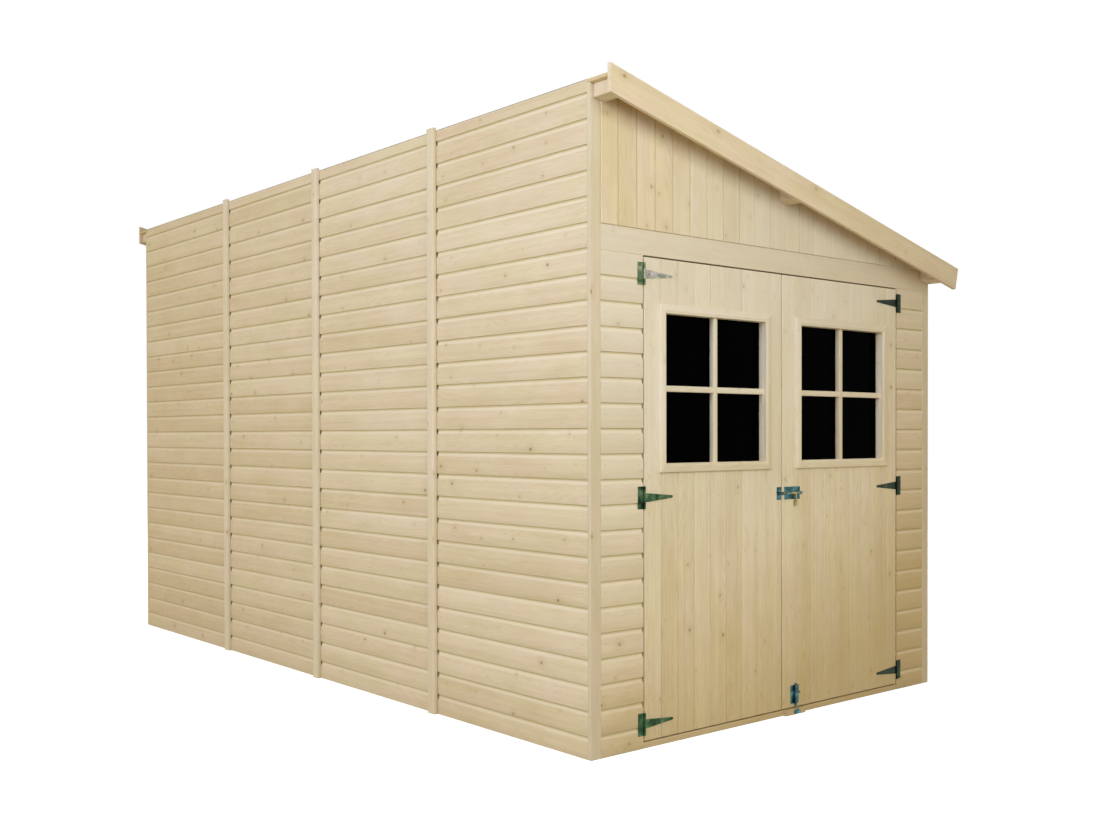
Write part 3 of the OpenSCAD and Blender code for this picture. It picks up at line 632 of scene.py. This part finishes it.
# The two long edges of each leaf, and its first seam
leaves = {"left": (255.5, 1008.25, 339.9), "right": (1013.75, 1782.5, 1106.1)}
DOOR_PITCH = 86.8
for side, (x0, x1, first_seam) in leaves.items():
    centre = (x0 + x1) / 2
    hole = (centre - WIN_W / 2 - LINING, centre + WIN_W / 2 + LINING)
    seams = [x0, *np.arange(first_seam, x1 - NARROWEST, DOOR_PITCH), x1]
    planks = []
    # Some joints are nearly closed and show less, so each has its own share of dust and painted
    # shade
    shades = dict(zip(seams, rng.uniform(0.05, 0.6, len(seams))))
    for s0, s1 in zip(seams[:-1], seams[1:]):
        cuts = sorted({s0, s1, *[h for h in hole if s0 + 1 < h < s1 - 1]})
        first = None
        for a0, a1 in zip(cuts[:-1], cuts[1:]):
            holed = hole[0] < (a0 + a1) / 2 < hole[1]
            spans = ([(LEAF_LOW, hole_low), (hole_high, LEAF_TOP)] if holed
                     else [(LEAF_LOW, LEAF_TOP)])
            joints = {k: shades[s] for k, s, real in ((0, s0, a0 == s0), (3, s1, a1 == s1)) if real}
            for low, high in spans:
                part = board(upright(a0, a1, 0, CLAD_T, a0 == s0, a1 == s1, DOOR_VEE),
                             lambda a, b, c: (a, b, c), low, high, joints)
                if first is not None:
                    part["shift"], part["tone"] = first["shift"], first["tone"]
                first = first or part
                planks.append(part)
    built(f"{side}_door_planks", planks, f"{side}_door", [f"{side}_door_boards"], door_spruce)
    dressed(f"{side}_door_battens", f"{side}_door_ledges", f"{side}_door", X, frame_timber)

# windows
# A fixed cross of glazing bars in a lining that goes through the leaf, with a
# mitred moulding in front. The panes are one sheet of glass behind the bars, painted black as
# shade.

LINING_D, BAR, BAR_IN, BAR_R = 36.0, 22.0, 4.0, 3.0


def mitred(outline, centre, width, height):
    """Four lengths round an opening: outline (a outwards from the opening, b depth),
    each cut at 45 degrees, so its ends lie at half the opening plus a."""
    made = []
    for turn in range(4):
        half, reach = ((height, width) if turn % 2 else (width, height))
        c, s = round(math.cos(turn * math.pi / 2)), round(math.sin(turn * math.pi / 2))

        def place(a, b, t, c=c, s=s, reach=reach):
            p, q = t, reach / 2 + a
            return centre + p * c - q * s, b, WIN_Z + p * s + q * c

        made.append(board(outline, place, lambda a, b, half=half: -half / 2 - a,
                          lambda a, b, half=half: half / 2 + a))
    return made


moulding = [(0, 0), (0, -7.5), (1.5, -9.5), (4, -10.2), (7, -10.2), (8.2, -12), (28, -12),
            (30.6, -11.2), (32.4, -9.2), (33, -6.5), (33, 0)]
# Float glass painted black for the shade inside the shed, smooth, with the faintest waves
glass = bpy.data.materials.new("window_glass")
glass.use_nodes = True
tree = glass.node_tree
shader = tree.nodes["Principled BSDF"]
waves = add(tree, "TexNoise", {"Vector": add(tree, "TexCoord").outputs["Object"],
                               "Scale": per_m(180), "Detail": 1.0})
depth = add(tree, "ValToRGB", {0: waves.outputs["Fac"]})
depth.color_ramp.elements[0].color = linear("#000000")
depth.color_ramp.elements[1].color = linear("#010202")
tree.links.new(depth.outputs["Color"], shader.inputs["Base Color"])
bump = add(tree, "Bump", {"Height": waves.outputs["Fac"], "Strength": 0.05, "Distance": 0.001})
tree.links.new(bump.outputs["Normal"], shader.inputs["Normal"])
shader.inputs["Roughness"].default_value = 0.06
shader.inputs["Specular IOR Level"].default_value = 0.004
for side, (x0, x1, _) in leaves.items():
    centre = (x0 + x1) / 2
    parts = mitred(moulding, centre, WIN_W, WIN_H)
    parts += mitred(eased(0, LINING, 0.2, LINING_D, 1), centre, WIN_W, WIN_H)
    bar = eased(-BAR / 2, BAR / 2, BAR_IN, BAR_IN + BAR, BAR_R)
    parts.append(board(bar, lambda a, b, c: (centre + a, b, WIN_Z + c), -WIN_H / 2, WIN_H / 2))
    parts += [board(bar, lambda a, b, c: (centre + c, b, WIN_Z + a), low, high)
              for low, high in ((-WIN_W / 2, -BAR / 2 + BAR_R), (BAR / 2 - BAR_R, WIN_W / 2))]
    built(f"{side}_window_joinery", parts, f"{side}_door", [f"{side}_window_frame"], door_spruce)
    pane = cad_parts[f"{side}_window_glass"]
    pane.data.materials.clear()
    pane.data.materials.append(glass)

# ironwork
# T hinges of green passivated zinc and barrel bolts of blue passivated zinc,
# pressed from sheet and screwed on through drilled holes.


def plated(name, deep, bright, glint, rough):
    """Zinc plate: an interference colour that drifts over 40 mm, on metal. A point
    attribute adds painted reflection: a darker colour below 0 and a silvery one above 0."""
    material = bpy.data.materials.new(name)
    material.use_nodes = True
    tree = material.node_tree
    shader = tree.nodes["Principled BSDF"]
    spot = add(tree, "TexCoord").outputs["Object"]
    drift = add(tree, "TexNoise", {"Vector": spot, "Scale": per_m(40), "Detail": 3.0,
                                   "Distortion": 0.6})
    painted_reflection = add(tree, "Attribute", attribute_name="film_and_reflection").outputs["Fac"]
    drift = add(tree, "Math", {0: drift.outputs["Fac"], 1: painted_reflection}, operation="ADD")
    film_and_reflection = add(tree, "ValToRGB", {0: drift.outputs[0]})
    film_and_reflection.color_ramp.elements[0].position, film_and_reflection.color_ramp.elements[1].position = 0.35, 0.72
    film_and_reflection.color_ramp.elements[0].color = linear(deep)
    film_and_reflection.color_ramp.elements[1].color = linear(glint)
    film_and_reflection.color_ramp.elements.new(0.52).color = linear(bright)
    # The silvery last stop is a painted reflection, reached only where the attribute lifts the
    # drift
    film_and_reflection.color_ramp.elements.new(0.98).color = linear("#C2B8B4")
    tree.links.new(film_and_reflection.outputs["Color"], shader.inputs["Base Color"])
    speck = add(tree, "TexNoise", {"Vector": spot, "Scale": per_m(1.5), "Detail": 2.0})
    matt = add(tree, "MapRange", {"Value": speck.outputs["Fac"], "To Min": rough - 0.08,
                                  "To Max": rough + 0.12})
    tree.links.new(matt.outputs["Result"], shader.inputs["Roughness"])
    shader.inputs["Metallic"].default_value = 0.72
    return material


# Green, blue and yellow films: half dull, deep in colour, with paler glints
green_zinc = plated("green_passivated_zinc", "#10200F", "#2F5533", "#73855E", 0.36)
blue_zinc = plated("blue_passivated_zinc", "#112E30", "#2C5C62", "#6CA0A6", 0.30)
brass_tone = plated("yellow_passivated_zinc", "#857447", "#AD9A62", "#C6B47C", 0.34)
for name, node, body, finish, slot in (
        ("hinge_leaves", "hinge_plates", "shed", green_zinc, "hinge_steel"),
        ("left_strap_leaves", "left_hinge_straps", "left_door", green_zinc, "hinge_steel"),
        ("right_strap_leaves", "right_hinge_straps", "right_door", green_zinc, "hinge_steel"),
        ("guide_plates", "bolt_guides", "right_door", blue_zinc, "bolt_steel"),
        ("catch_plate", "bolt_catch", "left_door", blue_zinc, "bolt_steel"),
        ("drop_bar", "bottom_bolt", "bottom_bolt_bar", blue_zinc, "bolt_steel"),
        ("middle_bar", "middle_bolt", "middle_bolt_bar", brass_tone, "bolt_steel")):
    piece = dressed(name, node, body, X, finish, arris=0.4, rounded=True)
    if finish is green_zinc:
        # Painted reflection: the top left hinge is made silvery as a glint, and the right
        # ones darker as a dark reflection
        place = np.empty(len(piece.data.vertices) * 3)
        piece.data.vertices.foreach_get("co", place)
        x, _, z = place.reshape(-1, 3).T
        film_and_reflection = np.where(x > 0, -0.22, np.where(z > 1.5, 0.16, -0.03))
        if name == "left_strap_leaves":
            film_and_reflection = np.where(z > 1.5, 0.42, film_and_reflection)
        piece.data.attributes.new("film_and_reflection", "FLOAT", "POINT").data.foreach_set("value", film_and_reflection)
dressed("bolt_block_timber", "bolt_block", "shed", X, front_spruce)
# The keep is a plate 40 by 18 mm with half-round ends, screwed on the block
DROP_X, KEEP_Z, KEEP_R, KEEP_HALF = 1088.75, 11.0, 9.0, 11.0
BLOCK_T, BOLT_T = 14.0, 1.5
t = np.radians(np.arange(-82.5, 270, 15))
keep = np.stack([DROP_X + KEEP_HALF * np.sign(np.cos(t)) + KEEP_R * np.cos(t),
                 KEEP_Z + KEEP_R * np.sin(t)], 1)
built("keep_plate", [board(keep, lambda a, b, c: (a, c, b), -BLOCK_T - BOLT_T, -BLOCK_T)], "shed",
      ["bolt_block_plate"], blue_zinc)

# fixings
# Round wire nails, driven flush through the boards into the frames behind, and
# round-headed screws through the drilled plates of the hinges and bolts.

NAIL = [(1.0, -0.4), (1.0, 0.3), (0.7, 0.8), (0.0, 1.0)]
SCREW = [(1.0, -0.2), (0.96, 0.35), (0.62, 0.9), (0.36, 1.0), (0.28, 0.45), (0.0, 0.4)]


def heads(name, places, out, body, profile, radius, rise, finish):
    """Heads on a face that looks out: each is the profile (radius, height) turned
    round its place in eight steps, so p + r (cos t, sin t) + h out."""
    places, out = np.array(places, float), np.array(out, float)
    side = np.cross(out, [0.3, 0.4, 0.9])
    side /= np.linalg.norm(side)
    t = np.arange(8) * math.pi / 4
    round_out = np.cos(t)[:, None] * side + np.sin(t)[:, None] * np.cross(out, side)
    rings = [radius * r * round_out + rise * h * out for r, h in profile[:-1]]
    one = np.concatenate([*rings, [rise * profile[-1][1] * out]])
    i, j = np.arange(8), (np.arange(8) + 1) % 8
    square = np.stack([i, j, j + 8, i + 8], 1)
    quads = np.concatenate([square + 8 * k for k in range(len(rings) - 1)])
    last = 8 * (len(rings) - 1)
    fan = np.stack([i + last, j + last, np.full(8, len(one) - 1)], 1)
    step = np.arange(len(places)) * len(one)
    faces = [(f + n).tolist() for n in step for f in (*quads, *fan)]
    mesh = bpy.data.meshes.new(name)
    points = (places[:, None] + one[None]).reshape(-1, 3)
    mesh.from_pydata((points - MIDDLE) / 1000, [], faces)
    mesh.polygons.foreach_set("use_smooth", np.ones(len(faces), bool))
    mesh.set_sharp_from_angle(angle=math.radians(50))
    mesh.materials.append(finish)
    piece = bpy.data.objects.new(name, mesh)
    bpy.context.scene.collection.objects.link(piece)
    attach(piece, body)


def each(*rows):
    """Every combination of the three rows of coordinates."""
    return np.stack(np.meshgrid(*rows, indexing="ij"), -1).reshape(-1, 3)


# Bright wire nails gone dull: a little darker and greyer than the wood
nail_zinc = plated("wire_nail_zinc", "#A5977A", "#B8AA8C", "#C8BC9F", 0.5)
NAIL_R, NAIL_RISE, BESIDE = 2.0, 0.5, 42.0
board_z = np.arange(FIRST, TALL_TOP - PITCH, PITCH) + PITCH * 0.54
low_z = board_z[board_z < LOW_TOP - 20]
bay_y = np.concatenate([np.arange(5) * BAY - BESIDE, np.arange(5) * BAY + BESIDE,
                        (np.arange(4) + 0.5) * BAY])
# Only the places on the boards, clear of the corner boards' edges
bay_y = bay_y[(bay_y > 40) & (bay_y < SHED_L - 40)]
heads("left_wall_nails", each([0.2], bay_y, board_z), (-1, 0, 0), "shed", NAIL, NAIL_R,
      NAIL_RISE, nail_zinc)
heads("right_wall_nails", each([SHED_W - 0.2], bay_y, low_z), (1, 0, 0), "shed", NAIL, NAIL_R,
      NAIL_RISE, nail_zinc)
side_z = board_z[board_z < TRIM_Z - 20]
NAIL_X = CORNER + 21
front_x = [NAIL_X, JAMB_L - 22, JAMB_R + 22, SHED_W - NAIL_X]
heads("front_wall_nails", each(front_x, [0.2], side_z), (0, -1, 0), "shed", NAIL, NAIL_R,
      NAIL_RISE, nail_zinc)
rear_x = [NAIL_X, SHED_W / 2 - BESIDE, SHED_W / 2 + BESIDE, SHED_W - NAIL_X]
heads("rear_wall_nails", each(rear_x, [SHED_L - 0.2], side_z), (0, 1, 0), "shed", NAIL, NAIL_R,
      NAIL_RISE, nail_zinc)
strip_y = [BAY, 2 * BAY, 3 * BAY]
heads("left_batten_nails", each([-BATTEN_T], strip_y, np.linspace(60, 2200, 8)), (-1, 0, 0),
      "shed", NAIL, NAIL_R, 0.4, nail_zinc)
heads("right_batten_nails", each([SHED_W + BATTEN_T], strip_y, np.linspace(60, 1700, 6)),
      (1, 0, 0), "shed", NAIL, NAIL_R, 0.4, nail_zinc)
for side, (x0, x1, first_seam) in leaves.items():
    middles = np.array([x0, *np.arange(first_seam, x1 - NARROWEST, DOOR_PITCH), x1])
    middles = (middles[:-1] + middles[1:]) / 2
    ledge_z = [LEAF_LOW + 138, 886, LEAF_TOP - 76]
    heads(f"{side}_door_nails", each(middles, [0], ledge_z), (0, -1, 0), f"{side}_door", NAIL,
          NAIL_R, 0.3, nail_zinc)

HINGE_Z = (87.5, 890.0, 1681.5)
PIN_L, PIN_R, LEAF_T = 252.75, 1785.25, 2.0
# Screws from the pin: three down the plate, and three along the tapered strap
PLATE_IN, PLATE_STEP, STRAP_STEPS = 19.0, 28.0, (26.0, 76.0, 128.0)
plate_z = [z + k * PLATE_STEP for z in HINGE_Z for k in (-1, 0, 1)]
heads("plate_screws", each([PIN_L - PLATE_IN, PIN_R + PLATE_IN], [-LEAF_T], plate_z), (0, -1, 0),
      "shed", SCREW, 3.4, 1.2, green_zinc)
for side, pin, way in (("left", PIN_L, 1), ("right", PIN_R, -1)):
    heads(f"{side}_strap_screws", each([pin + way * d for d in STRAP_STEPS], [-LEAF_T], HINGE_Z),
          (0, -1, 0), f"{side}_door", SCREW, 3.2, 1.2, green_zinc)
BOLT_X, BOLT_Z, BOLT_L, DROP_Z, DROP_L = 1025.75, 881.0, 96.0, 42.0, 72.0
# Screws of the bolts: 18 mm to each side of the bar, and 8 mm from the plate's ends
EAR, END, CATCH_X = 18.0, 8.0, 993.75
bolt_z, drop_z = [BOLT_Z - EAR, BOLT_Z + EAR], [DROP_Z + END, DROP_Z + DROP_L - END]
places = np.concatenate([each([BOLT_X + END, BOLT_X + BOLT_L - END], [-BOLT_T], bolt_z),
                         each([DROP_X - EAR, DROP_X + EAR], [-BOLT_T], drop_z)])
heads("guide_screws", places, (0, -1, 0), "right_door", SCREW, 3.0, 1.1, blue_zinc)
heads("catch_screws", each([CATCH_X], [-BOLT_T], bolt_z), (0, -1, 0), "left_door", SCREW, 3.0,
      1.1, blue_zinc)
heads("keep_screws", each([DROP_X - 14, DROP_X + 14], [-BLOCK_T - BOLT_T], [KEEP_Z]), (0, -1, 0),
      "shed", SCREW, 2.6, 1.0, blue_zinc)

# stage
# A plain pale floor that shows as white, four large soft boxes in front, at the
# left and behind, and a camera where the photograph was taken.

REACH, JUST_BELOW = 40, -0.001
floor_mesh = bpy.data.meshes.new("ground")
floor_mesh.from_pydata([(x * REACH, y * REACH, JUST_BELOW)
                        for x, y in ((-1, -1), (1, -1), (1, 1), (-1, 1))], [], [(0, 1, 2, 3)])
ground = bpy.data.objects.new("ground", floor_mesh)
bpy.context.scene.collection.objects.link(ground)
pale = bpy.data.materials.new("pale_floor")
pale.use_nodes = True
tree = pale.node_tree
shader = tree.nodes["Principled BSDF"]
shader.inputs["Base Color"].default_value = linear("#BFB8A0")
shader.inputs["Roughness"].default_value = 1.0
shader.inputs["Specular IOR Level"].default_value = 0.0
path = add(tree, "LightPath")
seen = add(tree, "Math", {0: path.outputs["Is Camera Ray"], 1: path.outputs["Is Glossy Ray"]},
           operation="MAXIMUM")
glow = add(tree, "Emission", {"Color": (0.885, 0.92, 1, 1), "Strength": 0.96})
both = add(tree, "AddShader", {0: shader.outputs[0], 1: glow.outputs[0]})
pick = add(tree, "MixShader", {0: seen.outputs[0], 1: shader.outputs[0], 2: both.outputs[0]})
tree.links.new(pick.outputs[0], tree.nodes["Material Output"].inputs["Surface"])
floor_mesh.materials.append(pale)
ground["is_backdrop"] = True

world = bpy.data.worlds.new("studio")
bpy.context.scene.world = world
world.use_nodes = True
tree = world.node_tree
path = add(tree, "LightPath")
seen = add(tree, "Math", {0: path.outputs["Is Camera Ray"], 1: path.outputs["Is Glossy Ray"]},
           operation="MAXIMUM")
seen = add(tree, "Math", {0: seen.outputs[0], 1: path.outputs["Is Transmission Ray"]},
           operation="MAXIMUM")
soft = add(tree, "Background", {"Color": (1, 0.78, 0.46, 1), "Strength": 0.38})
white = add(tree, "Background", {"Color": (1, 1, 1, 1), "Strength": 1.0})
pick = add(tree, "MixShader", {0: seen.outputs[0], 1: soft.outputs[0], 2: white.outputs[0]})
tree.links.new(pick.outputs[0], tree.nodes["World Output"].inputs["Surface"])


def lamp(name, place, aim, size, power, colour):
    """A square soft box of that size in metres at place, turned to aim."""
    light = bpy.data.lights.new(name, "AREA")
    light.size, light.energy, light.color = size, power, colour
    soft_box = bpy.data.objects.new(name, light)
    bpy.context.scene.collection.objects.link(soft_box)
    gaze = np.array(aim, float) - np.array(place, float)
    soft_box.rotation_mode = "QUATERNION"
    soft_box.rotation_quaternion = Vector(gaze).to_track_quat("-Z", "Y")
    soft_box.location = place
    soft_box.visible_glossy = False
    soft_box.visible_camera = False


lamp("front_box", (-1.5, -5.0, 2.4), (-0.4, -1.9, 1.7), 2.4, 79, (0.90, 1.0, 1.0))
lamp("left_box", (-4.6, -2.6, 3.0), (-1.1, -0.6, 1.7), 1.6, 100, (0.56, 0.70, 1.0))
lamp("side_box", (-9, 1.5, 3.2), (-1, 0, 1.2), 4, 225, (0.91, 1.0, 0.89))
lamp("rear_box", (6.5, 7.0, 6.0), (0.5, 0.3, 1.4), 4, 620, (0.92, 0.98, 1.0))

camera = bpy.data.objects.new("camera", bpy.data.cameras.new("camera"))
bpy.context.scene.collection.objects.link(camera)
bpy.context.scene.camera = camera
camera.data.sensor_width, camera.data.lens = 36.0, 39.44
# The photo is cropped: its middle lies 33.8 pixels above the point the lens faces
CROP_PX, FRAME_PX = 33.8, 1100
camera.data.shift_y = CROP_PX / FRAME_PX
camera.matrix_world = (Matrix.Translation((-3.780, -5.008, 1.113))
                       @ Matrix.Rotation(math.radians(-39.949), 4, "Z")
                       @ Matrix.Rotation(math.radians(90 - 0.519), 4, "X")
                       @ Matrix.Rotation(math.radians(-0.114), 4, "Z"))
bpy.context.scene.view_settings.view_transform = "Standard"

low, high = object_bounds()
